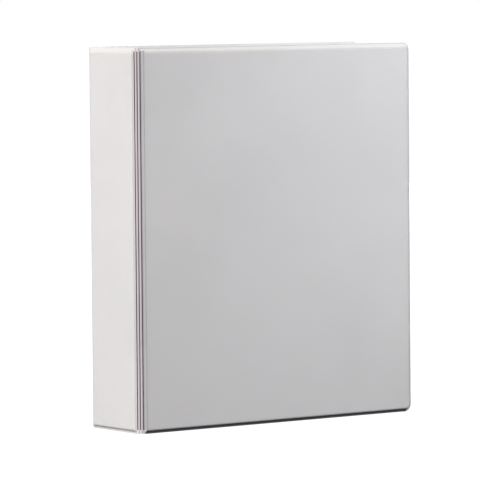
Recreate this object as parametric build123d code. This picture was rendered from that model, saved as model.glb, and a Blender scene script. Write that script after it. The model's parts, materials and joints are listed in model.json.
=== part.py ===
from build123d import *
import os
from math import cos, radians, sin

# Vinyl view binder, letter size, D-rings on the back cover. Millimetres, +Z up, standing on its
# bottom edge. +X runs from the spine to the fore edge, the front cover faces -Y.

# ---- overall
HEIGHT = 295.0
WIDTH = 266.0
DEPTH = 70.0
RIVET_HEAD_RISE = 1.0
MID_Y = -RIVET_HEAD_RISE / 2
MID_Z = HEIGHT / 2

# ---- panel layers, measured outward from the liner's inner face
VINYL = 0.35
BOARD = 1.8
FILM = 0.2
WEB = 2 * VINYL
FACE = 2 * VINYL + BOARD
PANEL = FACE + FILM

# ---- rim: welded flange, then a 45 degree slope up over the board's edge
FLANGE = 1.2
SLOPE = FACE - WEB
HINGE_SHIFT = 0.6
BOARD_INSET = 3.2
CORNER_R = 6.0
VINYL_RUN = VINYL * (2**0.5 - 1)
FILM_RUN = FILM * (2**0.5 - 1)
FILM_EDGE = 0.5
FILM_BOTTOM = 1.0
FILM_TOP_DROP = 4.8

# ---- hinge: three weld lines with two ribs between, 30 degrees of bend at each line when shut
RIB_PITCH = 2.2
RIB_CREST = 1.15
RIB_END = 0.5
RIB_END_R = 0.7
WEB_CUT = 0.3
BEND = 30.0
CORNER_RUN = RIB_PITCH * (sin(radians(BEND)) + cos(radians(BEND)))

SPINE_INNER_X = -WIDTH / 2 + PANEL
SPINE_WEB_X = SPINE_INNER_X - WEB / 2
INNER_Y = DEPTH / 2 - PANEL
COVER_WEB_Y = INNER_Y + WEB / 2
SPINE_HALF = COVER_WEB_Y - CORNER_RUN
COVER_START_X = SPINE_WEB_X + CORNER_RUN
COVER_LENGTH = WIDTH / 2 - COVER_START_X

# ---- inner pockets
POCKET_SHEET = 0.3
POCKET_GAP = 0.4
POCKET_WELD = 3.0
POCKET_HEIGHT = 150.0
POCKET_EDGE = 2.0
FRONT_POCKET_START = 12.0
BACK_POCKET_START = 62.0

# ---- ring mechanism: u along +X from its middle, v from the back liner towards the front cover
MECH_X = SPINE_INNER_X + 34.0
STEEL = 0.8
HOUSING_HALF = 14.0
HOUSING_WALL = 5.4
HOUSING_CROWN = 10.0
HOUSING_LENGTH = 264.0
HOUSING_CORNER_R = 5.0
SPACE_WALL = 5.3
LIP_IN = 11.8
LIP_TOP = 3.4
LEAF_PIVOT_U = 12.6
LEAF_PIVOT_V = 4.4
LEAF_THICK = 1.0
LEAF_REACH = 12.2
LEAF_BACK = 0.22
LEAF_REST = 8.5
LEAF_LENGTH = 247.0
RING_PITCH = 107.95
WIRE_R = 2.0
TENON_R = 1.3
RING_U = 9.6
RING_TOP = 54.0
RING_BEND_R = 7.0
RING_ROOT_V = 2.6
TENON_ROOT_V = 3.1
TIP_U = 1.2
TIP_GAP = 0.35
D_CURVE = [(-10.5, 8.5), (-15.6, 18.0), (-18.6, 30.0), (-15.2, 42.5), (-7.4, 51.0)]
D_START = (-0.05, 1)
D_END = (1, 0.06)
SLOT_HALF = 2.6
SLOT_FLOOR = 5.6
SLOT_IN = 7.0
SLOT_OUT = 13.0
RIVET_Z = 117.5
RIVET_R = 1.5
RIVET_HEAD_R = 5.0
PLATEAU_R = 5.5
PLATEAU_TOP = 10.5
INNER_HEAD_R = 4.0
INNER_HEAD_RISE = 1.0
OUTER_BEVEL = 1.6
INNER_BEVEL = 1.2
POST_R = 2.4
LEAF_NOTCH_R = 3.1

# ---- levers
LEVER_Z = 128.0
LEVER_V = 3.6
PIN_R = 1.0
PIN_HALF = 8.6
LEVER_BORE_R = 1.05
BARREL_R = 2.0
BARREL_HALF = 7.0
LUG_IN = 7.4
LUG_HALF_Z = 2.9
LUG_BOTTOM = 2.0
LEVER_PLATE = 1.2
TONGUE_HALF = 2.5
TONGUE_REACH = 6.5
TONGUE_LOW = 0.6
TONGUE_HIGH = 1.5
TONGUE_ROOT = 0.6
NECK_HALF = 1.0
LEVER_ARM = [(0.6, 4.1), (5.9, 6.0), (8.2, 19.5), (9.6, 22.4)]
SHANK_V = (-2.0, 10.0)
TAB_WIDTH = 18.0
TAB_V = (9.5, 23.5)
TAB_R = 3.5

# ---- longer than anything it cuts through
PAST = 20.0

MIRROR_Y = Plane(origin=(0, MID_Y, 0), x_dir=(1, 0, 0), z_dir=(0, 1, 0))
MIRROR_Z = Plane(origin=(0, 0, MID_Z), x_dir=(1, 0, 0), z_dir=(0, 0, 1))
FRONT = Plane(origin=(COVER_START_X, MID_Y - INNER_Y, 0), x_dir=(1, 0, 0), z_dir=(0, -1, 0))
SPINE = Plane(origin=(SPINE_INNER_X, MID_Y, 0), x_dir=(0, -1, 0), z_dir=(-1, 0, 0))
MECH = Plane(origin=(MECH_X, MID_Y + INNER_Y, MID_Z), x_dir=(1, 0, 0), z_dir=(0, 0, -1))


def block(x0, x1, y0, y1, z0, z1):
    """A box between two corners."""
    return Pos((x0 + x1) / 2, (y0 + y1) / 2, (z0 + z1) / 2) * Box(x1 - x0, y1 - y0, z1 - z0)


def outline(left, right, inset, rounded):
    """A panel's outline at one inset: x along the panel, y up it."""
    width = right - left
    tall = HEIGHT - 2 * inset
    shape = Pos((left + right) / 2, MID_Z) * Rectangle(width, tall)
    if rounded:
        corners = shape.vertices().sort_by(Axis.X)[-2:]
        shape = fillet(corners, CORNER_R - inset)
    return shape


def cover_outline(inset):
    """The cover's outline: its left side is the hinge, its right corners are rounded."""
    left = max(WEB_CUT, inset - HINGE_SHIFT)
    return outline(left, COVER_LENGTH - inset, inset, True)


def spine_outline(inset):
    """The spine's outline: a hinge on both sides."""
    half = SPINE_HALF - max(WEB_CUT, inset - HINGE_SHIFT)
    return outline(-half, half, inset, False)


def slab(shape, low, high):
    """A flat sheet between two levels."""
    return extrude(Pos(0, 0, low) * shape, high - low)


def rise(edge, inset_low, level_low, inset_high, level_high):
    """A frustum between two insets of one outline."""
    low = Pos(0, 0, level_low) * edge(inset_low)
    high = Pos(0, 0, level_high) * edge(inset_high)
    return loft([low, high], ruled=True)


def liner(edge):
    """The inner vinyl sheet."""
    return slab(edge(0), 0, VINYL)


def tray(edge):
    """The outer vinyl sheet: welded flange, sloping sides and the face over the board."""
    sheet = slab(edge(0), VINYL, WEB)
    sheet += rise(edge, FLANGE, WEB, FLANGE + SLOPE, FACE)
    low = FLANGE + VINYL_RUN
    return sheet - rise(edge, low, VINYL, low + BOARD, VINYL + BOARD)


def board(edge):
    """The stiff board sealed inside."""
    return slab(edge(BOARD_INSET), VINYL, VINYL + BOARD)


def overlay(edge):
    """The clear film welded round three sides and open at the top."""
    low = FLANGE - FILM_RUN
    film = slab(edge(FILM_EDGE), WEB, WEB + FILM)
    film += rise(edge, low, WEB + FILM, low + SLOPE, PANEL)
    film -= rise(edge, FLANGE, WEB, FLANGE + SLOPE, FACE)
    reach = COVER_LENGTH + 1
    keep = block(-reach, reach, FILM_BOTTOM, HEIGHT - FILM_TOP_DROP, 0, PANEL + 1)
    return film & keep


def pocket(start):
    """A pocket sheet inside a cover, welded down both sides and along the bottom."""
    end = COVER_LENGTH - POCKET_EDGE
    lift = POCKET_SHEET + POCKET_GAP
    inner = (start + POCKET_WELD, end - POCKET_WELD)
    weld = block(start, end, POCKET_EDGE, POCKET_HEIGHT, -POCKET_SHEET, 0)
    raised = block(*inner, POCKET_EDGE + POCKET_WELD, POCKET_HEIGHT, -lift, 0)
    gap = (inner[0] + POCKET_SHEET, inner[1] - POCKET_SHEET)
    floor = POCKET_EDGE + POCKET_WELD + POCKET_SHEET
    space = block(*gap, floor, POCKET_HEIGHT + 1, -POCKET_GAP, 0)
    trim = extrude(Pos(0, 0, -lift) * outline(0, end, POCKET_EDGE, True), lift)
    return (weld + raised - space) & trim


def rib():
    """One hinge rib, x across it from one weld line to the next, y up it."""
    half = RIB_PITCH / 2 - WEB_CUT
    bulge = RIB_CREST - WEB
    radius = (half**2 + bulge**2) / (2 * bulge)
    plan = Pos(RIB_PITCH / 2, MID_Z) * Rectangle(2 * half, HEIGHT - 2 * RIB_END)
    plan = fillet(plan.vertices(), RIB_END_R)
    dome = Pos(RIB_PITCH / 2, MID_Z, RIB_CREST - radius) * Rot(90, 0, 0) * Cylinder(radius, HEIGHT)
    return extrude(plan, 2 * RIB_CREST) & dome


def rib_plane(count):
    """The local plane of front rib 1 or 2: x along the rib, y up, z outward."""
    turn = radians(BEND)
    start = (SPINE_WEB_X, MID_Y - SPINE_HALF)
    heading = (sin(turn), -cos(turn))
    if count == 2:
        start = (start[0] + RIB_PITCH * heading[0], start[1] + RIB_PITCH * heading[1])
        heading = (sin(2 * turn), -cos(2 * turn))
    outward = (heading[1], -heading[0])
    origin = (start[0] - outward[0] * WEB / 2, start[1] - outward[1] * WEB / 2, 0)
    return Plane(origin=origin, x_dir=(*heading, 0), z_dir=(*outward, 0))


def arch(half, wall, crown):
    """A closed section from the liner's face up two walls to an arched crown."""
    edge = Polyline((-half, wall), (-half, 0), (half, 0), (half, wall))
    edge += ThreePointArc((half, wall), (0, crown), (-half, wall))
    return make_face(edge)


def upright_bore(radius, u, z):
    """A cutter through the mechanism, square to the cover."""
    return Pos(u, 0, z) * Rot(-90, 0, 0) * Cylinder(radius, 2 * PAST)


def housing_solid(half, wall, crown):
    """An arched bar as long as the housing."""
    return extrude(arch(half, wall, crown), HOUSING_LENGTH / 2, both=True)


def hooked_edge(side):
    """The edge folded in and up that carries one leaf."""
    end = HOUSING_LENGTH / 2
    floor = sorted((side * LIP_IN, side * HOUSING_HALF))
    upturn = sorted((side * LIP_IN, side * (LIP_IN + STEEL)))
    return block(*floor, 0, STEEL, -end, end) + block(*upturn, 0, LIP_TOP, -end, end)


def lug(side, z, solid):
    """One lug that holds a lever's pin, trimmed to the arch."""
    reach = sorted((side * LUG_IN, side * (LUG_IN + STEEL)))
    return block(*reach, LUG_BOTTOM, HOUSING_CROWN, z - LUG_HALF_Z, z + LUG_HALF_Z) & solid


def plateau(z, space):
    """The flat pressed up round a rivet."""
    low = HOUSING_CROWN - 2 * STEEL
    disc = Rot(-90, 0, 0) * Cylinder(PLATEAU_R, PLATEAU_TOP - low)
    return Pos(0, (PLATEAU_TOP + low) / 2, z) * disc - space


def ring_slots(z):
    """Cutters for the two openings that a ring passes through."""
    tall = (SLOT_FLOOR, HOUSING_CROWN + STEEL, z - SLOT_HALF, z + SLOT_HALF)
    return block(SLOT_IN, SLOT_OUT, *tall) + block(-HOUSING_HALF - STEEL, -SLOT_IN, *tall)


def housing():
    """The arched cover plate with hooked edges, ring slots, end lugs and rivet plateaus."""
    solid = housing_solid(HOUSING_HALF, HOUSING_WALL, HOUSING_CROWN)
    space = housing_solid(HOUSING_HALF - STEEL, SPACE_WALL, HOUSING_CROWN - STEEL)
    body = solid - space + hooked_edge(-1) + hooked_edge(1)
    for z in (-LEVER_Z, LEVER_Z):
        body += lug(-1, z, solid) + lug(1, z, solid)
        body -= Pos(0, LEVER_V, z) * Rot(0, 90, 0) * Cylinder(PIN_R, 2 * PIN_HALF)
    plan = RectangleRounded(2 * HOUSING_HALF, HOUSING_LENGTH, HOUSING_CORNER_R)
    body &= extrude(Plane.XZ * plan, -PAST)
    for z in (-RIVET_Z, RIVET_Z):
        body += plateau(z, space)
        body -= upright_bore(RIVET_R, 0, z)
    for z in (-RING_PITCH, 0, RING_PITCH):
        body -= ring_slots(z)
    return body


def leaf_plate(side):
    """A leaf's plain plate in its shut position; side -1 is the spine side."""
    half, end = LEAF_THICK / 2, LEAF_LENGTH / 2
    plate = Rot(0, 0, -LEAF_REST) * block(-LEAF_BACK, LEAF_REACH, -half, half, -end, end)
    plate = Pos(-LEAF_PIVOT_U, LEAF_PIVOT_V, 0) * plate
    return plate if side < 0 else mirror(plate, about=Plane.YZ)


def leaf(side):
    """A leaf with its ring holes and the notches round the spacer posts."""
    body = leaf_plate(side)
    for z in (-RING_PITCH, 0, RING_PITCH):
        body -= upright_bore(TENON_R, side * RING_U, z)
    for z in (-RIVET_Z, RIVET_Z):
        body -= upright_bore(LEAF_NOTCH_R, 0, z)
    return body


def under_leaf(side):
    """Everything below a leaf's top face, for cutting a ring's foot to it."""
    below = block(-PAST, PAST, -PAST, LEAF_THICK / 2, -PAST, PAST)
    below = Rot(0, 0, -LEAF_REST) * below
    below = Pos(-LEAF_PIVOT_U, LEAF_PIVOT_V, 0) * below
    return below if side < 0 else mirror(below, about=Plane.YZ)


def curved_path():
    """The D's curved side, from the leaf up and over to the ring's tip."""
    points = [(-RING_U, RING_ROOT_V), *D_CURVE, (TIP_U - TIP_GAP, RING_TOP)]
    return Spline(*points, tangents=[D_START, D_END])


def post_path():
    """The D's straight side, with its bend at the top."""
    bend = RING_TOP - RING_BEND_R
    path = Line((RING_U, RING_ROOT_V), (RING_U, bend))
    path += JernArc((RING_U, bend), (0, 1), RING_BEND_R, 90)
    return path + Line((RING_U - RING_BEND_R, RING_TOP), (TIP_U, RING_TOP))


def ring_half(side):
    """One ring half at z = 0: the curved one on the spine side, the straight post on the other."""
    path, lean = (curved_path(), D_START) if side < 0 else (post_path(), (0, 1))
    start = Plane(origin=(side * RING_U, RING_ROOT_V, 0), z_dir=(*lean, 0))
    wire = sweep(start * Circle(WIRE_R), path=path, transition=Transition.ROUND)
    wire -= under_leaf(side)
    foot_top = LEAF_PIVOT_V + LEAF_THICK
    tenon = Rot(-90, 0, 0) * Cylinder(TENON_R, foot_top - TENON_ROOT_V)
    return wire + Pos(side * RING_U, (foot_top + TENON_ROOT_V) / 2, 0) * tenon


def rivet():
    """A mounting rivet at z = 0: low head outside the back cover, small head on the housing."""
    base = -PANEL
    outside = base - RIVET_HEAD_RISE
    top = PLATEAU_TOP + INNER_HEAD_RISE
    profile = Polyline(
        (0, outside),
        (RIVET_HEAD_R - OUTER_BEVEL, outside),
        (RIVET_HEAD_R, base),
        (RIVET_R, base),
        (RIVET_R, PLATEAU_TOP),
        (INNER_HEAD_R, PLATEAU_TOP),
        (INNER_HEAD_R - INNER_BEVEL, top),
        (0, top),
        close=True,
    )
    return revolve(make_face(profile), Axis.Y)


def spacer():
    """The tube between the back liner and the housing's crown, at z = 0."""
    tall = HOUSING_CROWN - 2 * STEEL
    tube = Cylinder(POST_R, tall) - Cylinder(RIVET_R, tall)
    return Pos(0, tall / 2, 0) * Rot(-90, 0, 0) * tube


def lever_mask():
    """The lever's outline seen from the end of the binder: a shank with a rounded tab."""
    shank = Pos(0, sum(SHANK_V) / 2) * Rectangle(2 * BARREL_HALF, SHANK_V[1] - SHANK_V[0])
    tab = Pos(0, sum(TAB_V) / 2) * RectangleRounded(TAB_WIDTH, TAB_V[1] - TAB_V[0], TAB_R)
    facing = Plane(origin=(0, 0, 0), x_dir=(0, 0, 1), z_dir=(-1, 0, 0))
    return extrude(facing * (shank + tab), PAST, both=True)


def lever():
    """The upper lever in its shut position: x away from its pivot along the height, y = v."""
    section = trace(Polyline(*LEVER_ARM), LEVER_PLATE)
    section += Pos(0, LEVER_V) * Circle(BARREL_R)
    body = extrude(section, TAB_WIDTH / 2 + STEEL, both=True) & lever_mask()
    depth = (-TONGUE_HALF, TONGUE_HALF)
    body += block(-TONGUE_REACH, TONGUE_ROOT, TONGUE_LOW, TONGUE_HIGH, *depth)
    body += block(-NECK_HALF, NECK_HALF, TONGUE_LOW, LEVER_V, *depth)
    return body - Pos(0, LEVER_V, 0) * Cylinder(LEVER_BORE_R, 2 * PAST)


def lever_pin():
    """The pin through the housing's lugs, at z = 0."""
    return Pos(0, LEVER_V, 0) * Rot(0, 90, 0) * Cylinder(PIN_R, 2 * PIN_HALF)


def on_mech(shape, up=0.0):
    """A mechanism shape moved into place, its z = 0 at a height above the binder's middle."""
    return MECH.location * (Pos(0, 0, -up) * shape)


def save(name, shape):
    """Write one node."""
    export_step(shape, f"parts/{name}.step")


def covers():
    """Both covers and the spine with their layers."""
    put = FRONT.location
    rivet_hole = Rot(-90, 0, 0) * Cylinder(RIVET_R, 4 * PANEL)
    holes = on_mech(rivet_hole, RIVET_Z) + on_mech(rivet_hole, -RIVET_Z)
    layers = {"liner": liner, "outer_vinyl": tray, "board": board, "clear_overlay": overlay}
    for name, make in layers.items():
        front = put * make(cover_outline)
        save(f"front_cover_{name}", front)
        save(f"back_cover_{name}", mirror(front, about=MIRROR_Y) - holes)
        save(f"spine_{name}", SPINE.location * make(spine_outline))
    save("front_inner_pocket", put * pocket(FRONT_POCKET_START))
    save("back_inner_pocket", mirror(put * pocket(BACK_POCKET_START), about=MIRROR_Y))
    for count in (1, 2):
        front = rib_plane(count).location * rib()
        save(f"front_hinge_rib_{count}", front)
        save(f"back_hinge_rib_{count}", mirror(front, about=MIRROR_Y))


def mechanism():
    """The ring metal on the back cover."""
    save("ring_housing", on_mech(housing()))
    save("spine_side_leaf", on_mech(leaf(-1)))
    save("fore_side_leaf", on_mech(leaf(1)))
    for place, up in (("top", RING_PITCH), ("middle", 0.0), ("bottom", -RING_PITCH)):
        save(f"curved_ring_{place}", on_mech(ring_half(-1), up))
        save(f"post_ring_{place}", on_mech(ring_half(1), up))
    upright = Plane(
        origin=(MECH_X, MID_Y + INNER_Y, MID_Z + LEVER_Z),
        x_dir=(0, 0, 1),
        z_dir=(1, 0, 0),
    )
    upper = upright.location * lever()
    save("lever_top", upper)
    save("lever_bottom", mirror(upper, about=MIRROR_Z))
    for place, sign in (("top", 1), ("bottom", -1)):
        save(f"lever_pin_{place}", on_mech(lever_pin(), sign * LEVER_Z))
        save(f"mounting_rivet_{place}", on_mech(rivet(), sign * RIVET_Z))
        save(f"spacer_post_{place}", on_mech(spacer(), sign * RIVET_Z))


os.makedirs("parts", exist_ok=True)
covers()
mechanism()
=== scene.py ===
# %% [markdown]
# # A vinyl view binder
# A view binder is three stiff boards sealed between two sheets of vinyl. The sheets are pressed together
# with hot bars round each board and along the hinges, and a clear film is welded over the outside as a
# pocket. This lesson dresses a finished mechanical model of one. The model already has every size and
# every hinge, so each piece here is worked out from it and nothing is fitted by eye.

# %% Load the frame
import bmesh
import bpy
import json
from math import atan2, ceil, cos, hypot, pi, radians, sin
from mathutils import Matrix, Vector, noise


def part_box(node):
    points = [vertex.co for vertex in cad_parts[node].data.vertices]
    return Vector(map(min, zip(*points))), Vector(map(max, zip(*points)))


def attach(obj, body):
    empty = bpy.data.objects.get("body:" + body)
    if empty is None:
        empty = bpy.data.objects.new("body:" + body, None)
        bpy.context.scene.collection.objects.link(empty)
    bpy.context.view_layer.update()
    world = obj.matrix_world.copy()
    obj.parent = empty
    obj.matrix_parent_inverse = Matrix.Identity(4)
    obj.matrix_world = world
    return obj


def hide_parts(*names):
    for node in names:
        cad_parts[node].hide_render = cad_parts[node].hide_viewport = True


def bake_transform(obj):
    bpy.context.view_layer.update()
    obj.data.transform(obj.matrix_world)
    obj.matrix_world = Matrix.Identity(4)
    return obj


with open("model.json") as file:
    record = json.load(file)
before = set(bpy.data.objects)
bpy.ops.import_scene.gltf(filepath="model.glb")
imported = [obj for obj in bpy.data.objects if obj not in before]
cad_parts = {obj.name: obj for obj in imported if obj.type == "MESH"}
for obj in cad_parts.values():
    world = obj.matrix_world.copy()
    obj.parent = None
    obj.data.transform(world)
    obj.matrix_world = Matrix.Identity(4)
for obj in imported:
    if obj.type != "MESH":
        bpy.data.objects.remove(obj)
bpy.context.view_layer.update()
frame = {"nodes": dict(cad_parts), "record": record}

# %% [markdown]
# ## Where each panel lies
# A panel is easiest to build flat: s runs along it away from the hinge, z runs up it and t stands out of
# it. Each panel's own plane is read from its lining sheet and from the hinge joints, so the same few
# functions can make the front, the back and the spine.

# %% Panels from the frame
MM = 0.001
joints = {joint["name"]: Vector(joint["pos_m"]) for joint in frame["record"]["behaviour"]["joints"]}
FRONT_LO, FRONT_HI = (Vector(corner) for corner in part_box("front_cover_liner"))
BACK_LO = Vector(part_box("back_cover_liner")[0])
SPINE_HI = Vector(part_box("spine_liner")[1])
HEIGHT = FRONT_HI.z - FRONT_LO.z
MIDDLE_Y = (FRONT_HI.y + BACK_LO.y) / 2
COVER_LENGTH = FRONT_HI.x - joints["front_cover_bend"].x
SPINE_HALF = (joints["back_cover_hinge"].y - joints["front_cover_hinge"].y) / 2


class Panel:
    """A flat panel's plane: where s, t and z are zero, and which way s and t run."""

    def __init__(self, origin, along, outward, left, right, hinged_right):
        self.origin = Vector(origin)
        self.along = Vector(along)
        self.outward = Vector(outward)
        self.left = left
        self.right = right
        self.hinged_right = hinged_right

    def place(self, s, t, z):
        """The point in the object's frame, in metres, of a point on the panel."""
        point = self.origin + self.along * s + self.outward * t
        return Vector((point.x, point.y, z))


FRONT_START = (joints["front_cover_bend"].x, FRONT_HI.y, 0)
BACK_START = (joints["back_cover_bend"].x, BACK_LO.y, 0)
SPINE_MIDDLE = (SPINE_HI.x, MIDDLE_Y, 0)
panels = {
    "front_cover": Panel(FRONT_START, (1, 0, 0), (0, -1, 0), 0, COVER_LENGTH, False),
    "back_cover": Panel(BACK_START, (1, 0, 0), (0, 1, 0), 0, COVER_LENGTH, False),
    "spine": Panel(SPINE_MIDDLE, (0, -1, 0), (-1, 0, 0), -SPINE_HALF, SPINE_HALF, True),
}
print("cover", round(COVER_LENGTH / MM, 1), "x", round(HEIGHT / MM, 1), "mm")

# %% [markdown]
# ## Shader groups that several finishes share
# Sheet vinyl is rolled between steel cylinders, which leaves a fine grain all over it, and years of hands
# leave slow changes of tone. Film, vinyl and plated steel all need some of both at different strengths,
# so each effect is one node group with named inputs, and every material sets its own values.

# %% Helpers for node trees
# Sockets that share a name are told apart by their place on the node.
FLOAT_A, FLOAT_B, COLOUR_A, COLOUR_B, COLOUR_RESULT = 2, 3, 6, 7, 2


def new_group(name, inputs, outputs):
    """An empty shader node group whose sockets are all floats."""
    group = bpy.data.node_groups.new(name, "ShaderNodeTree")
    for title, value in inputs.items():
        socket = group.interface.new_socket(title, in_out="INPUT", socket_type="NodeSocketFloat")
        socket.default_value = value
    for title in outputs:
        group.interface.new_socket(title, in_out="OUTPUT", socket_type="NodeSocketFloat")
    return group


def add(tree, kind, values=None, **settings):
    """A node with its settings and its unlinked input values."""
    node = tree.nodes.new(kind)
    for key, value in settings.items():
        setattr(node, key, value)
    for key, value in (values or {}).items():
        node.inputs[key].default_value = value
    return node


def link(tree, *pairs):
    """Join each output socket to its input socket."""
    for source, target in pairs:
        tree.links.new(source, target)


# %% Group: rolled grain
def make_grain_group():
    """Fine bumps at two sizes: Height for a Bump node and Speckle for roughness."""
    group = new_group("rolled_grain", {"Grain Size mm": 1.2, "Coarse Share": 0.35}, ["Height", "Speckle"])
    start = add(group, "NodeGroupInput")
    end = add(group, "NodeGroupOutput")
    place = add(group, "ShaderNodeTexCoord")
    per_metre = add(group, "ShaderNodeMath", {0: 1000.0}, operation="DIVIDE")
    coarse_size = add(group, "ShaderNodeMath", {1: 0.23}, operation="MULTIPLY")
    fine = add(group, "ShaderNodeTexNoise", {"Detail": 2.0, "Roughness": 0.55})
    coarse = add(group, "ShaderNodeTexNoise", {"Detail": 1.0, "Roughness": 0.5})
    blend = add(group, "ShaderNodeMix", data_type="FLOAT")
    link(
        group,
        (start.outputs["Grain Size mm"], per_metre.inputs[1]),
        (per_metre.outputs[0], fine.inputs["Scale"]),
        (per_metre.outputs[0], coarse_size.inputs[0]),
        (coarse_size.outputs[0], coarse.inputs["Scale"]),
        (place.outputs["Object"], fine.inputs["Vector"]),
        (place.outputs["Object"], coarse.inputs["Vector"]),
        (start.outputs["Coarse Share"], blend.inputs[0]),
        (fine.outputs[0], blend.inputs[FLOAT_A]),
        (coarse.outputs[0], blend.inputs[FLOAT_B]),
        (blend.outputs[0], end.inputs["Height"]),
        (fine.outputs[0], end.inputs["Speckle"]),
    )
    return group


# %% Group: tone drift
def make_drift_group():
    """Slow, cloudy change over a hand's width: 0 is clean, 1 is the strongest mark."""
    group = new_group("tone_drift", {"Patch Size mm": 80.0, "Low": 0.35, "High": 0.75}, ["Mask"])
    start = add(group, "NodeGroupInput")
    end = add(group, "NodeGroupOutput")
    place = add(group, "ShaderNodeTexCoord")
    per_metre = add(group, "ShaderNodeMath", {0: 1000.0}, operation="DIVIDE")
    cloud = add(group, "ShaderNodeTexNoise", {"Detail": 4.0, "Roughness": 0.6, "Distortion": 0.4})
    ramp = add(group, "ShaderNodeMapRange", interpolation_type="SMOOTHSTEP")
    link(
        group,
        (start.outputs["Patch Size mm"], per_metre.inputs[1]),
        (per_metre.outputs[0], cloud.inputs["Scale"]),
        (place.outputs["Object"], cloud.inputs["Vector"]),
        (cloud.outputs[0], ramp.inputs[0]),
        (start.outputs["Low"], ramp.inputs["From Min"]),
        (start.outputs["High"], ramp.inputs["From Max"]),
        (ramp.outputs[0], end.inputs["Mask"]),
    )
    return group


# %% Group: rub marks
def make_rub_group():
    """Hair-thin scratches along the height, for plated steel and for the film."""
    group = new_group("rub_marks", {"Length Ratio": 30.0, "Spacing mm": 0.6, "Amount": 0.5}, ["Mask"])
    start = add(group, "NodeGroupInput")
    end = add(group, "NodeGroupOutput")
    place = add(group, "ShaderNodeTexCoord")
    per_metre = add(group, "ShaderNodeMath", {0: 1000.0}, operation="DIVIDE")
    flat = add(group, "ShaderNodeMath", {0: 1.0}, operation="DIVIDE")
    stretch = add(group, "ShaderNodeCombineXYZ", {0: 1.0, 1: 1.0})
    scaled = add(group, "ShaderNodeVectorMath", operation="MULTIPLY")
    hairs = add(group, "ShaderNodeTexNoise", {"Detail": 3.0, "Roughness": 0.7})
    ramp = add(group, "ShaderNodeMapRange", {"From Min": 0.52, "From Max": 0.72})
    link(
        group,
        (start.outputs["Length Ratio"], flat.inputs[1]),
        (flat.outputs[0], stretch.inputs[2]),
        (place.outputs["Object"], scaled.inputs[0]),
        (stretch.outputs[0], scaled.inputs[1]),
        (scaled.outputs[0], hairs.inputs["Vector"]),
        (start.outputs["Spacing mm"], per_metre.inputs[1]),
        (per_metre.outputs[0], hairs.inputs["Scale"]),
        (hairs.outputs[0], ramp.inputs[0]),
        (start.outputs["Amount"], ramp.inputs["To Max"]),
        (ramp.outputs[0], end.inputs["Mask"]),
    )
    return group


grain_group = make_grain_group()
drift_group = make_drift_group()
rub_group = make_rub_group()
print("groups:", [group.name for group in bpy.data.node_groups])

# %% [markdown]
# ## One recipe for the opaque finishes
# Vinyl, board and plated steel differ in numbers, not in kind: two tones mixed by the drift mask, a
# roughness that the speckle moves a little, and a bump from the grain. One function builds them all,
# which keeps the finishes consistent and makes each material a single readable line.

# %% The finish recipe
def finish_material(name, clean, worn, rough, metallic=0.0, grain=None, drift=None, rub=0.0, bump=0.02):
    """A Principled material; rough is (smoothest, roughest), grain and drift hold the groups' values."""
    material = bpy.data.materials.new(name)
    material.use_nodes = True
    tree = material.node_tree
    surface = tree.nodes["Principled BSDF"]
    surface.inputs["Metallic"].default_value = metallic
    grained = add(tree, "ShaderNodeGroup", node_tree=grain_group)
    drifted = add(tree, "ShaderNodeGroup", node_tree=drift_group)
    for node, values in ((grained, grain), (drifted, drift)):
        for key, value in (values or {}).items():
            node.inputs[key].default_value = value
    tone = add(tree, "ShaderNodeMix", {COLOUR_A: (*clean, 1), COLOUR_B: (*worn, 1)}, data_type="RGBA")
    levels = {"From Min": 0.3, "From Max": 0.7, "To Min": rough[0], "To Max": rough[1]}
    gloss = add(tree, "ShaderNodeMapRange", levels)
    relief = add(tree, "ShaderNodeBump", {"Strength": 1.0, "Distance": bump * MM})
    link(
        tree,
        (drifted.outputs["Mask"], tone.inputs[0]),
        (tone.outputs[COLOUR_RESULT], surface.inputs["Base Color"]),
        (grained.outputs["Height"], relief.inputs["Height"]),
        (relief.outputs[0], surface.inputs["Normal"]),
    )
    if rub:
        rubbed = add(tree, "ShaderNodeGroup", {"Amount": rub}, node_tree=rub_group)
        joined = add(tree, "ShaderNodeMath", operation="ADD", use_clamp=True)
        link(
            tree,
            (grained.outputs["Speckle"], joined.inputs[0]),
            (rubbed.outputs["Mask"], joined.inputs[1]),
            (joined.outputs[0], gloss.inputs[0]),
        )
    else:
        link(tree, (grained.outputs["Speckle"], gloss.inputs[0]))
    link(tree, (gloss.outputs[0], surface.inputs["Roughness"]))
    return material


# %% [markdown]
# ## Vinyl, film, board and steel
# White vinyl is never pure white: it is slightly warm, and slightly grey where it is handled. Where a
# hot bar has pressed two sheets into one, they turn denser and darker; that dark colour also paints in
# the shade of the weld grooves and the shadow beside the spine. Two darker vinyls paint in the shade at
# the hinge creases and along the covers' foot. The clear film is milky rather than clear, with a surface
# like orange peel, and everything under it looks a little blue.

# %% Opaque materials
VINYL_GRAIN = {"Grain Size mm": 0.9, "Coarse Share": 0.3}
WIDE_DRIFT = {"Patch Size mm": 90.0, "Low": 0.35, "High": 0.8}
VINYL_LOOK = {"grain": VINYL_GRAIN, "drift": WIDE_DRIFT, "bump": 0.02}
cover_vinyl = finish_material(
    "cover_vinyl", (0.67, 0.655, 0.64), (0.63, 0.615, 0.60), (0.46, 0.56), **VINYL_LOOK
)
rib_vinyl = finish_material("rib_vinyl", (0.52, 0.465, 0.495), (0.46, 0.41, 0.44), (0.38, 0.5), **VINYL_LOOK)
lining_vinyl = finish_material(
    "lining_vinyl",
    (0.70, 0.69, 0.675),
    (0.645, 0.635, 0.62),
    (0.46, 0.58),
    grain={"Grain Size mm": 1.4, "Coarse Share": 0.4},
    drift=WIDE_DRIFT,
    bump=0.035,
)
pocket_vinyl = finish_material(
    "pocket_vinyl",
    (0.74, 0.735, 0.725),
    (0.70, 0.695, 0.685),
    (0.34, 0.46),
    grain={"Grain Size mm": 1.0, "Coarse Share": 0.5},
    drift=WIDE_DRIFT,
    bump=0.02,
)
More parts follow.
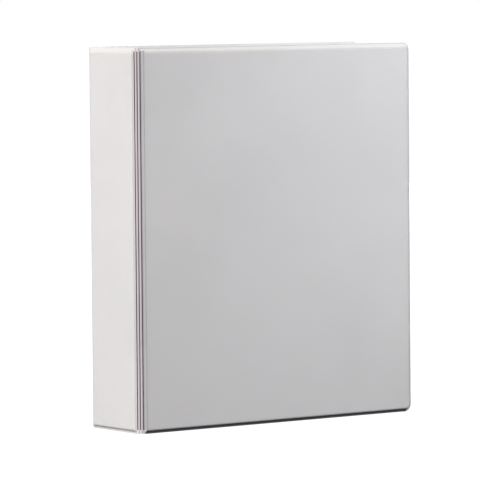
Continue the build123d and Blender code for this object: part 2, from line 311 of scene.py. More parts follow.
# Nearly black: partly the weld's own pressed colour, partly painted shade for the grooves and the spine's
# edge.
pressed_vinyl = finish_material(
    "pressed_vinyl", (0.085, 0.068, 0.076), (0.055, 0.045, 0.05), (0.5, 0.65), **VINYL_LOOK
)
# Painted shade: a grey vinyl for the turn beside each hinge, which lies in shade.
stretched_vinyl = finish_material(
    "stretched_vinyl", (0.355, 0.352, 0.362), (0.31, 0.308, 0.318), (0.4, 0.55), **VINYL_LOOK
)
# Painted shade: a near-black vinyl for the covers' foot rim, which faces down into shade.
scuffed_vinyl = finish_material(
    "scuffed_vinyl", (0.112, 0.118, 0.124), (0.085, 0.09, 0.096), (0.5, 0.65), **VINYL_LOOK
)
board = finish_material(
    "chipboard",
    (0.42, 0.36, 0.28),
    (0.33, 0.29, 0.23),
    (0.8, 0.95),
    grain={"Grain Size mm": 0.7, "Coarse Share": 0.5},
    drift={"Patch Size mm": 12.0},
    bump=0.06,
)
nickel = finish_material(
    "nickel_plate",
    (0.80, 0.785, 0.755),
    (0.75, 0.735, 0.705),
    (0.16, 0.26),
    metallic=1.0,
    grain={"Grain Size mm": 2.0, "Coarse Share": 0.3},
    drift={"Patch Size mm": 60.0, "Low": 0.45, "High": 0.9},
    rub=0.2,
    bump=0.002,
)
zinc = finish_material(
    "zinc_plate",
    (0.56, 0.57, 0.58),
    (0.45, 0.46, 0.48),
    (0.3, 0.5),
    metallic=1.0,
    grain={"Grain Size mm": 1.0, "Coarse Share": 0.4},
    drift={"Patch Size mm": 15.0, "Low": 0.4, "High": 0.7},
    rub=0.5,
    bump=0.015,
)
print("opaque materials:", len(bpy.data.materials))


# %% The clear film
def make_film():
    """Milky film: one Principled surface that lets most light through, with an orange-peel bump."""
    material = bpy.data.materials.new("clear_film")
    material.use_nodes = True
    tree = material.node_tree
    surface = tree.nodes["Principled BSDF"]
    surface.inputs["Alpha"].default_value = 0.13
    surface.inputs["IOR"].default_value = 1.54
    peel = {"Grain Size mm": 1.5, "Coarse Share": 0.45}
    grained = add(tree, "ShaderNodeGroup", peel, node_tree=grain_group)
    drifted = add(tree, "ShaderNodeGroup", {"Patch Size mm": 120.0}, node_tree=drift_group)
    rubbed = add(tree, "ShaderNodeGroup", {"Amount": 0.25, "Spacing mm": 1.5}, node_tree=rub_group)
    milky, dusty = (0.78, 0.785, 0.83, 1), (0.82, 0.82, 0.86, 1)
    tone = add(tree, "ShaderNodeMix", {COLOUR_A: milky, COLOUR_B: dusty}, data_type="RGBA")
    marks = add(tree, "ShaderNodeMath", operation="ADD", use_clamp=True)
    levels = {"From Min": 0.35, "From Max": 0.8, "To Min": 0.2, "To Max": 0.4}
    gloss = add(tree, "ShaderNodeMapRange", levels)
    relief = add(tree, "ShaderNodeBump", {"Strength": 1.0, "Distance": 0.022 * MM})
    link(
        tree,
        (drifted.outputs["Mask"], tone.inputs[0]),
        (tone.outputs[COLOUR_RESULT], surface.inputs["Base Color"]),
        (grained.outputs["Speckle"], marks.inputs[0]),
        (rubbed.outputs["Mask"], marks.inputs[1]),
        (marks.outputs[0], gloss.inputs[0]),
        (gloss.outputs[0], surface.inputs["Roughness"]),
        (grained.outputs["Height"], relief.inputs["Height"]),
        (relief.outputs[0], surface.inputs["Normal"]),
    )
    return material


clear_film = make_film()
print("film:", clear_film.name)

# %% [markdown]
# ## Pressed skins
# The outer sheet lies flat at the welded rim, climbs over the board's edge in a soft step and then runs
# flat across the face. A rounded box could imitate that, but its corners would be wrong: the real sheet
# keeps one profile all the way round. So the skin is a set of nested outlines, each a little further in
# and a little higher than the last, until the two long sides meet in the middle.

# %% Outlines and profiles
SKIN_PROFILE = [(0, 0.56), (0.15, 0.67), (0.35, 0.70), (0.85, 0.70), (1.1, 0.64), (1.3, 0.74), (1.7, 1.08)]
SKIN_PROFILE += [(2.1, 1.50), (2.5, 1.92), (2.8, 2.18), (3.1, 2.33), (3.5, 2.39), (4.2, 2.40)]
FILM_PROFILE = [(0.55, 0.80), (0.75, 0.87), (1.0, 0.88), (1.25, 0.98), (1.6, 1.25), (2.0, 1.66), (2.4, 2.07)]
FILM_PROFILE += [(2.75, 2.38), (3.1, 2.55), (3.5, 2.62), (4.2, 2.63)]
CORNER_R = 6.0 * MM
HINGE_CORNER_R = 0.3 * MM
WEB_CUT = 0.3 * MM
HINGE_SQUEEZE = 0.45
HINGE_SQUEEZE_END = 3.0 * MM
# Past the squeeze, the outlines of a hinged side stand in by this much less than those of a free side.
HINGE_GAIN = HINGE_SQUEEZE_END * (1 - HINGE_SQUEEZE) - WEB_CUT
FACE_STEP = 4.0 * MM
CORNER_STEPS = 6


def hinge_inset(inset):
    """How far in an outline stands on a hinged side, where the rim is narrower."""
    squeezed = min(inset, HINGE_SQUEEZE_END)
    return WEB_CUT + HINGE_SQUEEZE * squeezed + max(0, inset - HINGE_SQUEEZE_END)


def outline(left, right, low, high, radius_left, radius_right, counts):
    """A rounded rectangle as a loop of points, the same number however large it is."""
    along, up, round_corner = counts
    half = min(right - left, high - low) / 2
    radii = [min(radius, max(half, 0)) for radius in (radius_left, radius_right, radius_right, radius_left)]
    corners = [(left, low), (right, low), (right, high), (left, high)]
    signs = [(1, 1), (-1, 1), (-1, -1), (1, -1)]
    centres = [(c[0] + sign[0] * r, c[1] + sign[1] * r) for c, sign, r in zip(corners, signs, radii)]
    points = []
    for index in range(4):
        middle, radius = centres[index], radii[index]
        begin = pi + index * pi / 2
        for step in range(round_corner + 1):
            angle = begin + step / round_corner * pi / 2
            points.append((middle[0] + radius * cos(angle), middle[1] + radius * sin(angle)))
        following = (index + 1) % 4
        finish_angle = begin + pi / 2
        here = (middle[0] + radius * cos(finish_angle), middle[1] + radius * sin(finish_angle))
        there = (
            centres[following][0] + radii[following] * cos(finish_angle),
            centres[following][1] + radii[following] * sin(finish_angle),
        )
        count = along if index % 2 == 0 else up
        for step in range(1, count):
            share = step / count
            points.append((here[0] + (there[0] - here[0]) * share, here[1] + (there[1] - here[1]) * share))
    return points


# %% Nested outlines become a skin
SHARP_ANGLE = radians(38)
MERGE_WITHIN = 0.01 * MM
SLIVER = 0.005 * MM


def nested(span, profile, hinged, relief):
    """Vertices (s, t, z) and quads of a skin over span = (left, right, low, high), in metres."""
    left, right, low, high = span
    last = profile[-1][0] * MM
    middle = min(right - left + HINGE_GAIN * sum(hinged), high - low) / 2
    insets = [(inset * MM, level * MM) for inset, level in profile]
    steps = ceil((middle - last) / FACE_STEP)
    insets += [(last + (middle - last) * (n + 1) / steps, profile[-1][1] * MM) for n in range(steps)]
    counts = (ceil((right - left) / FACE_STEP), ceil((high - low) / FACE_STEP), CORNER_STEPS)
    vertices = []
    for inset, level in insets:
        sides = [hinge_inset(inset) if flag else inset for flag in hinged]
        a, b = left + sides[0], right - sides[1]
        # The last outline closes to a line, and rounding must not turn it inside out.
        if b < a:
            a = b = (a + b) / 2
        radii = [HINGE_CORNER_R if flag else max(CORNER_R - inset, HINGE_CORNER_R) for flag in hinged]
        loop = outline(a, b, low + inset, high - inset, *radii, counts)
        vertices += [(s, level + relief(s, z, inset), z) for s, z in loop]
    size = len(vertices) // len(insets)
    faces = []
    for ring in range(len(insets) - 1):
        for n in range(size):
            m = (n + 1) % size
            faces.append((ring * size + n, ring * size + m, (ring + 1) * size + m, (ring + 1) * size + n))
    return vertices, faces


def plain_mesh(name, thing):
    """The evaluated object as one plain mesh object, with smooth faces and sharp creases."""
    mesh = bpy.data.meshes.new_from_object(thing.evaluated_get(bpy.context.evaluated_depsgraph_get()))
    source = thing.data
    bpy.data.objects.remove(thing)
    bpy.data.meshes.remove(source)
    mesh.name = name
    mesh.shade_smooth()
    mesh.set_sharp_from_angle(angle=SHARP_ANGLE)
    piece = bpy.data.objects.new(name, mesh)
    bpy.context.scene.collection.objects.link(piece)
    return piece


def sheet_piece(name, panel, vertices, faces, thickness, cut_height=None, inward=False):
    """A skin laid on its panel, cut level at its free top edge, and given its thickness."""
    mesh = bpy.data.meshes.new(name)
    mesh.from_pydata([panel.place(s, -t if inward else t, z) for s, t, z in vertices], [], faces)
    work = bmesh.new()
    work.from_mesh(mesh)
    bmesh.ops.remove_doubles(work, verts=work.verts, dist=MERGE_WITHIN)
    bmesh.ops.dissolve_degenerate(work, edges=work.edges, dist=SLIVER)
    if cut_height:
        everything = work.verts[:] + work.edges[:] + work.faces[:]
        plane = {"plane_co": (0, 0, cut_height), "plane_no": (0, 0, 1)}
        bmesh.ops.bisect_plane(work, geom=everything, clear_outer=True, **plane)
    facing = panel.outward * (-1 if inward else 1)
    work.normal_update()
    total = sum((face.normal * face.calc_area() for face in work.faces), Vector())
    if total.dot(facing) < 0:
        bmesh.ops.reverse_faces(work, faces=work.faces)
    work.to_mesh(mesh)
    work.free()
    thing = bpy.data.objects.new(name, mesh)
    bpy.context.scene.collection.objects.link(thing)
    wall = thing.modifiers.new("wall", "SOLIDIFY")
    wall.thickness = thickness
    wall.offset = -1
    return plain_mesh(name, thing)


print("skin profile:", len(SKIN_PROFILE), "points, film profile:", len(FILM_PROFILE), "points")

# %% [markdown]
# ## The relief in the sheets
# A vinyl skin over a board is nearly flat, but the film over it is loose: it bellies by less than a tenth
# of a millimetre over a hand's width, and it puckers out of the corner beside the hinge, where the weld
# pulls it. Such small heights only show as a change in the reflections, which is how they show on the
# real thing.

# %% Relief functions
RIPPLES = 15
RIPPLE_WANDER = 2.2


def fade_in(inset, start, end):
    """0 at the rim, 1 on the face."""
    share = min(max((inset - start) / (end - start), 0), 1)
    return share * share * (3 - 2 * share)


def swell(s, z, across, up, seed):
    """Smooth noise between -1 and 1, in patches of across by up millimetres."""
    return noise.noise(Vector((s / (across * MM), z / (up * MM), seed)))


def vinyl_relief(s, z, inset):
    """The skin follows the board's surface, which is not quite flat."""
    return 0.035 * MM * swell(s, z, 55, 70, seed=3.0) * fade_in(inset, 4 * MM, 14 * MM)


def pucker(s, z):
    """Ripples that fan out of the lower corner beside the hinge and die away."""
    reach = hypot(s, z)
    angle = atan2(z, max(s, 1e-6))
    ripple = sin(RIPPLES * angle + RIPPLE_WANDER * swell(s, z, 18, 18, seed=1.0))
    near = fade_in(reach, 8 * MM, 22 * MM)
    far = 1 - fade_in(reach, 38 * MM, 80 * MM)
    return ripple * near * far


def film_relief(s, z, inset):
    """Loose film: slow bellies, with puckers in the lower corner."""
    slow = swell(s, z, 38, 52, seed=7.0)
    quick = swell(s, z, 14, 17, seed=11.0)
    return (0.04 * slow + 0.012 * quick + 0.022 * pucker(s, z)) * MM * fade_in(inset, 3.4 * MM, 9 * MM)


middle_relief = film_relief(COVER_LENGTH / 2, HEIGHT / 2, COVER_LENGTH / 2)
print("film relief in the middle of a cover:", round(middle_relief / MM, 3), "mm")

# %% Outer vinyl and film on all three panels
SKIN_WALL = 0.24 * MM
FILM_WALL = 0.12 * MM
FILM_DROP = HEIGHT - Vector(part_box("front_cover_clear_overlay")[1]).z
for body, panel in panels.items():
    span = (panel.left, panel.right, 0.0, HEIGHT)
    hinged = (True, panel.hinged_right)
    shape = nested(span, SKIN_PROFILE, hinged, vinyl_relief)
    skin = sheet_piece(f"{body}_skin", panel, *shape, thickness=SKIN_WALL)
    skin.data.materials.append(cover_vinyl)
    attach(skin, body)
    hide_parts(f"{body}_outer_vinyl")
    shape = nested(span, FILM_PROFILE, hinged, film_relief)
    film = sheet_piece(f"{body}_film", panel, *shape, thickness=FILM_WALL, cut_height=HEIGHT - FILM_DROP)
    film.data.materials.append(clear_film)
    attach(film, body)
    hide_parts(f"{body}_clear_overlay")
    print(body, "skin", len(skin.data.polygons), "faces, film", len(film.data.polygons))

# %% [markdown]
# ## Weld lines
# Each hinge is three lines where a hot bar has pressed both sheets into one thin web, and the bar's
# teeth leave a row of small pads in it. The web bends as the cover opens, so each line is a strip of its
# own whose section turns from the heading of one body to that of the next; the strip is built in place
# and is not attached to either body. The bar stops short of both ends, and there the sheets keep their
# thickness and stay white.

# %% The web strips
WEB_HALF = Vector(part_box("front_cover_liner")[0]).x - joints["front_cover_bend"].x
WEB_MIDDLE = 0.35 * MM
STRIP_HALF = WEB_HALF + 0.16 * MM
LIP = 3.1 * MM
LIP_LEVEL = 0.74 * MM
GROOVE_LEVEL = 0.40 * MM
GROOVE_FLOOR = 0.04 * MM
WEB_END = 0.15 * MM
ACROSS = 6


class WeldLine:
    """One line: its joint's place and the headings of the web on either side of it."""

    def __init__(self, name, bodies, joint, incoming, outgoing, side):
        self.name = name
        self.bodies = bodies
        self.pivot = joints[joint]
        self.incoming = incoming
        self.outgoing = outgoing
        self.side = side

    def place(self, d, t, z):
        """A point d across the line and t out of the web, which turns smoothly round the pivot."""
        share = fade_in(d, -STRIP_HALF, STRIP_HALF)
        heading = self.incoming + (self.outgoing - self.incoming) * share
        forward = Vector((cos(heading), self.side * sin(heading)))
        outward = Vector((-sin(heading), self.side * cos(heading)))
        flat = Vector(self.pivot[:2]) + forward * d + outward * (t - WEB_MIDDLE)
        return Vector((flat.x, flat.y, z))


weld_lines = []
BEND = radians(30)
for end, side in (("front", -1), ("back", 1)):
    chain = ["spine", f"{end}_rib_1", f"{end}_rib_2", f"{end}_cover"]
    names = [f"{end}_cover_hinge", f"{end}_rib_bend", f"{end}_cover_bend"]
    for n in range(3):
        headings = (pi / 2 - n * BEND, pi / 2 - (n + 1) * BEND)
        weld_lines.append(WeldLine(f"{end}_weld_{n + 1}", chain[n : n + 2], names[n], *headings, side))


def closed_piece(name, vertices, faces):
    """A closed solid from its vertices and faces, with its normals turned outwards."""
    mesh = bpy.data.meshes.new(name)
    mesh.from_pydata(vertices, [], faces)
    work = bmesh.new()
    work.from_mesh(mesh)
    bmesh.ops.recalc_face_normals(work, faces=work.faces)
    work.to_mesh(mesh)
    work.free()
    mesh.shade_smooth()
    mesh.set_sharp_from_angle(angle=SHARP_ANGLE)
    piece = bpy.data.objects.new(name, mesh)
    bpy.context.scene.collection.objects.link(piece)
    return piece


def strip_between(name, first, last):
    """A closed strip from one end section to the other, both given as loops of points."""
    size = len(first)
    faces = [tuple(range(size)), tuple(range(size, 2 * size))]
    faces += [(n, (n + 1) % size, size + (n + 1) % size, size + n) for n in range(size)]
    return closed_piece(name, first + last, faces)


def weld_strip(line, name, low, high, top):
    """A length of the web between two heights, as thick as its top level says."""
    upper = [(STRIP_HALF * (2 * n / ACROSS - 1), top) for n in range(ACROSS + 1)]
    ring = upper + [(d, GROOVE_FLOOR) for d, t in reversed(upper)]
    sections = [[line.place(d, t, z) for d, t in ring] for z in (low, high)]
    return strip_between(f"{line.name}{name}", *sections)


def bend_across(piece):
    """Bakes the piece's placement into its mesh; it does not follow either body."""
    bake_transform(piece)


# The groove's dark weld material partly paints in the shade that falls in the groove.
LENGTHS = {
    "": (LIP, HEIGHT - LIP, GROOVE_LEVEL, pressed_vinyl),
    "_lip_low": (WEB_END, LIP, LIP_LEVEL, cover_vinyl),
    "_lip_high": (HEIGHT - LIP, HEIGHT - WEB_END, LIP_LEVEL, cover_vinyl),
}
for line in weld_lines:
    for name, (low, high, top, material) in LENGTHS.items():
        strip = weld_strip(line, name, low, high, top)
        strip.data.materials.append(material)
        bend_across(strip)
print("weld lines:", len(weld_lines), "with", len(LENGTHS), "lengths each")

# %% [markdown]
# ## Painted shade beside each hinge
# Where a cover's sheet turns down over the board's edge into the last weld line, the turn lies in shade.
# A narrow strip of darker vinyl follows that turn from the web to the face and paints that shade in.
# On the spine's side a thinner dark strip along the rim paints in the shadow beside the first weld line.

# %% Creases
CREASE = [(0.30, 0.74), (0.62, 0.96), (0.86, 1.12), (1.12, 1.60), (1.36, 2.10), (1.62, 2.44), (2.0, 2.61)]
SHADOW = [(0.12, 0.72), (0.3, 0.8), (0.48, 0.86)]
CREASE_WALL = 0.12 * MM
CREASE_ENDS = (3.0 * MM, HEIGHT - 2.5 * MM)


def crease_strip(name, panel, profile, hinge_s, inward):
    """A strip along a hinged side; inward is 1 or -1, the way that s runs from the hinge."""
    top = [(hinge_s + inward * s * MM, t * MM) for s, t in profile]
    under = [(s, t - CREASE_WALL) for s, t in reversed(top)]
    sections = [[panel.place(s, t, z) for s, t in top + under] for z in CREASE_ENDS]
    return strip_between(name, *sections)


# Each of these strips is painted shade: the creases beside the covers' hinges and the shadow beside the
# spine's edges.
creases = {
    "front_cover_crease": ("front_cover", CREASE, 0, 1, stretched_vinyl),
    "back_cover_crease": ("back_cover", CREASE, 0, 1, stretched_vinyl),
    # These two dark strips are a painted shadow along the spine's rim beside the first weld lines.
    "spine_front_seam": ("spine", SHADOW, SPINE_HALF, -1, pressed_vinyl),
    "spine_back_seam": ("spine", SHADOW, -SPINE_HALF, 1, pressed_vinyl),
}
for name, (body, profile, hinge_s, inward, material) in creases.items():
    crease = crease_strip(name, panels[body], profile, hinge_s, inward)
    crease.data.materials.append(material)
    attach(crease, body)
print("creases:", list(creases))

# %% [markdown]
# ## Painted shade along the foot of each cover
# The binder stands on the covers' lower welds, and that rim faces down into shade, which is painted in as
# dark vinyl. It is one more thin strip, which lies on the film's own profile and stops where the corners
# begin to turn.

# %% Foot strips
FOOT_LIFT = 0.06
FOOT_TOP = 2.5
FOOT_ENDS = (1.6 * MM, COVER_LENGTH - 5.0 * MM)
foot_top = [(0.25, 0.84)] + [(z, t + FOOT_LIFT) for z, t in FILM_PROFILE if z < FOOT_TOP]
foot_ring = [(z * MM, t * MM) for z, t in foot_top]
foot_ring += [(z, t - CREASE_WALL) for z, t in reversed(foot_ring)]
# Each foot strip is painted shade along the downward-facing rim.
for body in ("front_cover", "back_cover"):
    sections = [[panels[body].place(s, t, z) for z, t in foot_ring] for s in FOOT_ENDS]
    foot = strip_between(f"{body}_foot", *sections)
    foot.data.materials.append(scuffed_vinyl)
    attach(foot, body)
print("foot strips on both covers")

# %% [markdown]
# ## Pads pressed along a line
# The pads repeat hundreds of times, so Geometry Nodes make them: points are spaced evenly along a path,
# each gets a small rounded pad, and the result is turned into a plain mesh. Pitch and pad sizes are
# inputs of the tree, so the hinge lines and the pocket seams share it.

# %% The pad tree
PAD_INPUTS = {"Pitch": 1.0 * MM, "Pad Length": 0.5 * MM, "Pad Width": 0.4 * MM, "Pad Height": 0.16 * MM}


def make_pad_tree():
    """A path mesh in, a row of rounded pads out."""
    tree = bpy.data.node_groups.new("pressed_pads", "GeometryNodeTree")
    tree.interface.new_socket("Path", in_out="INPUT", socket_type="NodeSocketGeometry")
    for title, value in PAD_INPUTS.items():
        socket = tree.interface.new_socket(title, in_out="INPUT", socket_type="NodeSocketFloat")
        socket.default_value = value
    tree.interface.new_socket("Finish", in_out="INPUT", socket_type="NodeSocketMaterial")
    tree.interface.new_socket("Pads", in_out="OUTPUT", socket_type="NodeSocketGeometry")
    start = add(tree, "NodeGroupInput")
    end = add(tree, "NodeGroupOutput")
    curve = add(tree, "GeometryNodeMeshToCurve")
    points = add(tree, "GeometryNodeCurveToPoints", mode="LENGTH")
    size = add(tree, "ShaderNodeCombineXYZ")
    pad = add(tree, "GeometryNodeMeshUVSphere", {"Segments": 8, "Rings": 4, "Radius": 0.5})
    rows = add(tree, "GeometryNodeInstanceOnPoints")
    real = add(tree, "GeometryNodeRealizeInstances")
    painted = add(tree, "GeometryNodeSetMaterial")
    link(
        tree,
        (start.outputs["Path"], curve.inputs[0]),
        (curve.outputs[0], points.inputs["Curve"]),
        (start.outputs["Pitch"], points.inputs["Length"]),
        (start.outputs["Pad Width"], size.inputs[0]),
        (start.outputs["Pad Height"], size.inputs[1]),
        (start.outputs["Pad Length"], size.inputs[2]),
        (points.outputs["Points"], rows.inputs["Points"]),
        (points.outputs["Rotation"], rows.inputs["Rotation"]),
        (pad.outputs["Mesh"], rows.inputs["Instance"]),
        (size.outputs[0], rows.inputs["Scale"]),
        (rows.outputs[0], real.inputs[0]),
        (real.outputs[0], painted.inputs["Geometry"]),
        (start.outputs["Finish"], painted.inputs["Material"]),
        (painted.outputs[0], end.inputs["Pads"]),
    )
    return tree


pad_tree = make_pad_tree()


def pads_along(name, path, material, **sizes):
    """A piece of pads along a path of points; sizes are inputs of the tree."""
    mesh = bpy.data.meshes.new(name)
    mesh.from_pydata(path, [(n, n + 1) for n in range(len(path) - 1)], [])
    thing = bpy.data.objects.new(name, mesh)
    bpy.context.scene.collection.objects.link(thing)
    nodes = thing.modifiers.new("pads", "NODES")
    nodes.node_group = pad_tree
    for socket in pad_tree.interface.items_tree:
        if socket.in_out == "INPUT" and socket.name in sizes:
            nodes[socket.identifier] = sizes[socket.name]
        if socket.in_out == "INPUT" and socket.name == "Finish":
            nodes[socket.identifier] = material
    thing.data.update()
    return plain_mesh(name, thing)


print("pad tree inputs:", list(PAD_INPUTS))

# %% Pads on the hinge lines
PAD_GAP = 0.8 * MM
for line in weld_lines:
    low = line.place(0, GROOVE_LEVEL, LIP + PAD_GAP)
    high = line.place(0, GROOVE_LEVEL, HEIGHT - LIP - PAD_GAP)
    pads = pads_along(f"{line.name}_pads", [low, high], pressed_vinyl)
    bend_across(pads)
print("pads on a line:", len(pads.data.polygons), "faces")

# %% [markdown]
# ## Inner pockets
# Each cover has a low pocket inside, a plain sheet welded down both sides and along the bottom. It is the
# same kind of skin as the outside ones, laid on the inner face: flat at the weld, lifting where paper goes
# in, and cut level at its mouth, where the edge is folded over into a hem.

# %% Pocket sheets, hems and seams
POCKET_PROFILE = [(0, 0.14), (0.2, 0.24), (0.9, 0.26), (1.3, 0.21), (1.7, 0.21), (2.1, 0.27), (2.8, 0.32)]
POCKET_PROFILE += [(3.6, 0.45), (4.6, 0.56), (6.0, 0.60)]
POCKET_WALL = 0.2 * MM
SEAM_INSET = 1.5 * MM
SEAM_LEVEL = 0.22 * MM
SEAM_PITCH = 1.6 * MM
MOUTH_GAP = 4 * MM
HEM = 3.0 * MM
HEM_LEVEL = 0.66 * MM
HEM_WALL = 0.3 * MM
MOUTH_ABOVE = 40.0 * MM


def pocket_relief(s, z, inset):
    """A slack sheet: a slow wave that dies away at the welds."""
    return 0.035 * MM * swell(s, z, 45, 40, seed=21.0) * fade_in(inset, 5 * MM, 20 * MM)


def hem_strip(name, panel, left, right, top):
    """The folded band along a pocket's mouth."""
    levels = (HEM_LEVEL - HEM_WALL, HEM_LEVEL)
    corners = [(left, top - HEM), (right, top - HEM), (right, top), (left, top)]
    vertices = [panel.place(s, -t, z) for t in levels for s, z in corners]
    faces = [(0, 1, 2, 3), (4, 5, 6, 7), (0, 1, 5, 4), (1, 2, 6, 5), (2, 3, 7, 6), (3, 0, 4, 7)]
    return closed_piece(name, vertices, faces)


for end in ("front", "back"):
    body = f"{end}_cover"
    panel = panels[body]
    low, high = (Vector(corner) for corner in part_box(f"{end}_inner_pocket"))
    left, right = low.x - panel.origin.x, high.x - panel.origin.x
    shape = nested((left, right, low.z, high.z + MOUTH_ABOVE), POCKET_PROFILE, (False, False), pocket_relief)
    sheet = sheet_piece(f"{end}_pocket_sheet", panel, *shape, POCKET_WALL, cut_height=high.z, inward=True)
    sheet.data.materials.append(pocket_vinyl)
    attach(sheet, body)
    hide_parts(f"{end}_inner_pocket")
    hem = hem_strip(f"{end}_pocket_hem", panel, left + MOUTH_GAP, right - MOUTH_GAP, high.z)
    hem.data.materials.append(pocket_vinyl)
    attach(hem, body)
    rounded = CORNER_R + SEAM_INSET
    seams = {
        "inner": [(left + SEAM_INSET, high.z - MOUTH_GAP), (left + SEAM_INSET, low.z + rounded)],
        "lower": [(left + rounded, low.z + SEAM_INSET), (right - rounded, low.z + SEAM_INSET)],
        "outer": [(right - SEAM_INSET, low.z + rounded), (right - SEAM_INSET, high.z - MOUTH_GAP)],
    }
    for where, ends in seams.items():
        path = [panel.place(s, -SEAM_LEVEL, z) for s, z in ends]
        seam = pads_along(f"{end}_pocket_seam_{where}", path, lining_vinyl, Pitch=SEAM_PITCH)
        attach(seam, body)
    print(end, "pocket:", len(sheet.data.polygons), "faces and", len(seams), "seams")

# %% [markdown]
# ## Softened metal
# Sheet steel that has been sheared, bent and plated has no knife edges: every rim catches a thin line of
# light. The visible metal is copied, its triangles are joined back into faces and its sharp edges get a
# small bevel.

# %% Bevelled copies
BEVELS = {"ring_housing": 0.16 * MM}
BEVELS.update({f"lever_{place}": 0.22 * MM for place in ("top", "bottom")})
BEVELS.update({f"mounting_rivet_{place}": 0.25 * MM for place in ("top", "bottom")})
SAME_POINT = 0.001 * MM
SAME_PLANE = radians(0.5)
BEVEL_ANGLE = radians(40)


def softened(node_name, width):
    """A copy of a node with joined faces and bevelled edges."""
    work = bmesh.new()
    work.from_mesh(frame["nodes"][node_name].data)
    bmesh.ops.remove_doubles(work, verts=work.verts, dist=SAME_POINT)
    bmesh.ops.dissolve_limit(work, angle_limit=SAME_PLANE, verts=work.verts, edges=work.edges)
    mesh = bpy.data.meshes.new(f"{node_name}_soft")
    work.to_mesh(mesh)
    work.free()
    thing = bpy.data.objects.new(mesh.name, mesh)
    bpy.context.scene.collection.objects.link(thing)
    edge = thing.modifiers.new("edge", "BEVEL")
    edge.width = width
    edge.segments = 2
    edge.limit_method = "ANGLE"
    edge.angle_limit = BEVEL_ANGLE
    return plain_mesh(thing.name, thing)


body_of = {node: body for body, nodes in frame["record"]["behaviour"]["bodies"].items() for node in nodes}
for name, width in BEVELS.items():
    metal = softened(name, width)
    metal.data.materials.append(nickel)
    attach(metal, body_of[name])
    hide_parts(name)
print("softened", len(BEVELS), "metal parts")

# %% [markdown]
# ## Finishes for the mechanical parts
# Every part of the mechanical model that still shows keeps its own mesh and only takes a finish.

# %% Assign finishes
FINISHES = {
    "board": board,
    "liner": lining_vinyl,
    "pocket": pocket_vinyl,
    "vinyl": cover_vinyl,
    "overlay": clear_film,
    "rib": rib_vinyl,
    "leaf": zinc,
    "pin": zinc,
    "spacer": zinc,
}
# The name of the spine holds the word pin, so that word is dropped before the search.
for name, node in frame["nodes"].items():
    found = [finish for word, finish in FINISHES.items() if word in name.replace("spine", "")]
    chosen = found[0] if found else nickel
    node.data.materials.clear()
    node.data.materials.append(chosen)
print("finishes on", len(frame["nodes"]), "nodes")

# %% [markdown]
# ## Floor, light and camera
# The binder stands on a white sweep in a soft studio: a broad light on the spine's side, a weaker one in
# front, and an even surround that keeps the shadows light. The sweep looks white to the camera but sends
# back little light, so the binder's foot stays darker than its top.

# %% Floor and surround
SURROUND = 0.39
WHITE = (1, 1, 1, 1)
FLOOR_GREY = (0.05, 0.05, 0.052, 1)
scene = bpy.context.scene
scene.view_settings.view_transform = "Standard"
bpy.ops.mesh.primitive_plane_add(size=40, location=(0, 0, 0))
floor_plane = bpy.context.object
floor_plane.name = "studio_floor"
floor_material = bpy.data.materials.new("studio_floor")
floor_material.use_nodes = True
floor_tree = floor_material.node_tree
floor_surface = floor_tree.nodes["Principled BSDF"]
floor_surface.inputs["Base Color"].default_value = FLOOR_GREY
floor_surface.inputs["Roughness"].default_value = 0.95
floor_surface.inputs["Emission Color"].default_value = WHITE
floor_rays = add(floor_tree, "ShaderNodeLightPath")
link(floor_tree, (floor_rays.outputs["Is Camera Ray"], floor_surface.inputs["Emission Strength"]))
floor_plane.data.materials.append(floor_material)
surround = bpy.data.worlds.new("studio")
scene.world = surround
surround.use_nodes = True
surround_tree = surround.node_tree
surround_light = surround_tree.nodes["Background"]
surround_light.inputs["Color"].default_value = WHITE
surround_rays = add(surround_tree, "ShaderNodeLightPath")
surround_level = add(surround_tree, "ShaderNodeMapRange", {"To Min": SURROUND})
link(
    surround_tree,
    (surround_rays.outputs["Is Camera Ray"], surround_level.inputs[0]),
    (surround_level.outputs[0], surround_light.inputs["Strength"]),
)
print("surround strength:", SURROUND)


# %% Lights
def soft_light(name, place, target, size, power, tint, spread=180):
    """A square area light turned towards a point, with its spread in degrees."""
    data = bpy.data.lights.new(name, "AREA")
    data.size = size
    data.energy = power
    data.color = tint
    data.spread = radians(spread)
    light = bpy.data.objects.new(name, data)
    light.location = place
    light.rotation_euler = (Vector(target) - Vector(place)).to_track_quat("-Z", "Y").to_euler()
    scene.collection.objects.link(light)


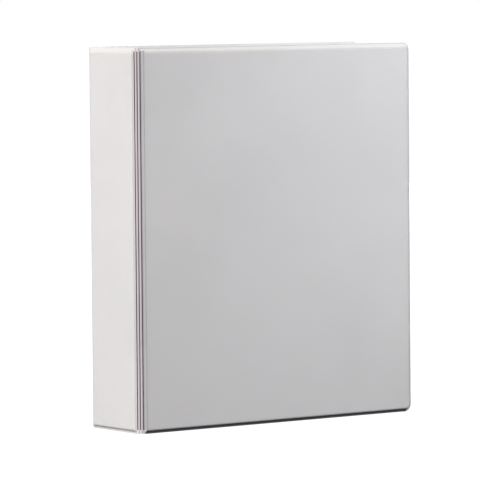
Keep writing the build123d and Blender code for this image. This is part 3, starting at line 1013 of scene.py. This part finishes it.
CENTRE = Vector((0, MIDDLE_Y, HEIGHT / 2))
FAR_TOP = (FRONT_HI.x, FRONT_LO.y, 0.84 * HEIGHT)
WARM, COOL = (1.0, 0.975, 0.972), (0.945, 0.965, 1.0)
soft_light("key", place=(-3.0, -0.9, 1.45), target=CENTRE, size=1.6, power=137, tint=WARM)
soft_light("fill", place=(0.70, -0.66, 0.56), target=FAR_TOP, size=0.4, power=1.25, tint=COOL, spread=72)
soft_light("back", place=(1.9, 3.0, 0.8), target=CENTRE, size=1.8, power=60, tint=WARM)
print("lights:", [light.name for light in bpy.data.lights])

# %% Camera
CAMERA_AZIMUTH = radians(-36.25)
CAMERA_ELEVATION = radians(3.6)
CAMERA_ROLL = radians(-0.5)
CAMERA_DISTANCE = 11.19 * HEIGHT
CAMERA_SIDEWAYS = -0.0346 * HEIGHT
CAMERA_UPWARDS = -0.0205 * HEIGHT
CAMERA_LENS = 315.0
right = Vector((cos(CAMERA_AZIMUTH), sin(CAMERA_AZIMUTH), 0))
level_back = Vector((sin(CAMERA_AZIMUTH), -cos(CAMERA_AZIMUTH), 0))
back = level_back * cos(CAMERA_ELEVATION) + Vector((0, 0, sin(CAMERA_ELEVATION)))
up = back.cross(right)
near_corner = joints["front_rib_bend"]
far_corner = Vector((FRONT_HI.x, joints["back_rib_bend"].y, 0))
box_middle = Vector(((near_corner.x + far_corner.x) / 2, (near_corner.y + far_corner.y) / 2, HEIGHT / 2))
camera_data = bpy.data.cameras.new("camera")
camera_data.lens = CAMERA_LENS
camera_data.clip_end = 100
camera = bpy.data.objects.new("camera", camera_data)
camera.location = box_middle + back * CAMERA_DISTANCE + right * CAMERA_SIDEWAYS + up * CAMERA_UPWARDS
turn = Matrix((right, up, back)).transposed() @ Matrix.Rotation(CAMERA_ROLL, 3, "Z")
camera.rotation_euler = turn.to_euler()
scene.collection.objects.link(camera)
scene.camera = camera
print("camera", round((camera.location - box_middle).length, 2), "m away, lens", CAMERA_LENS, "mm")
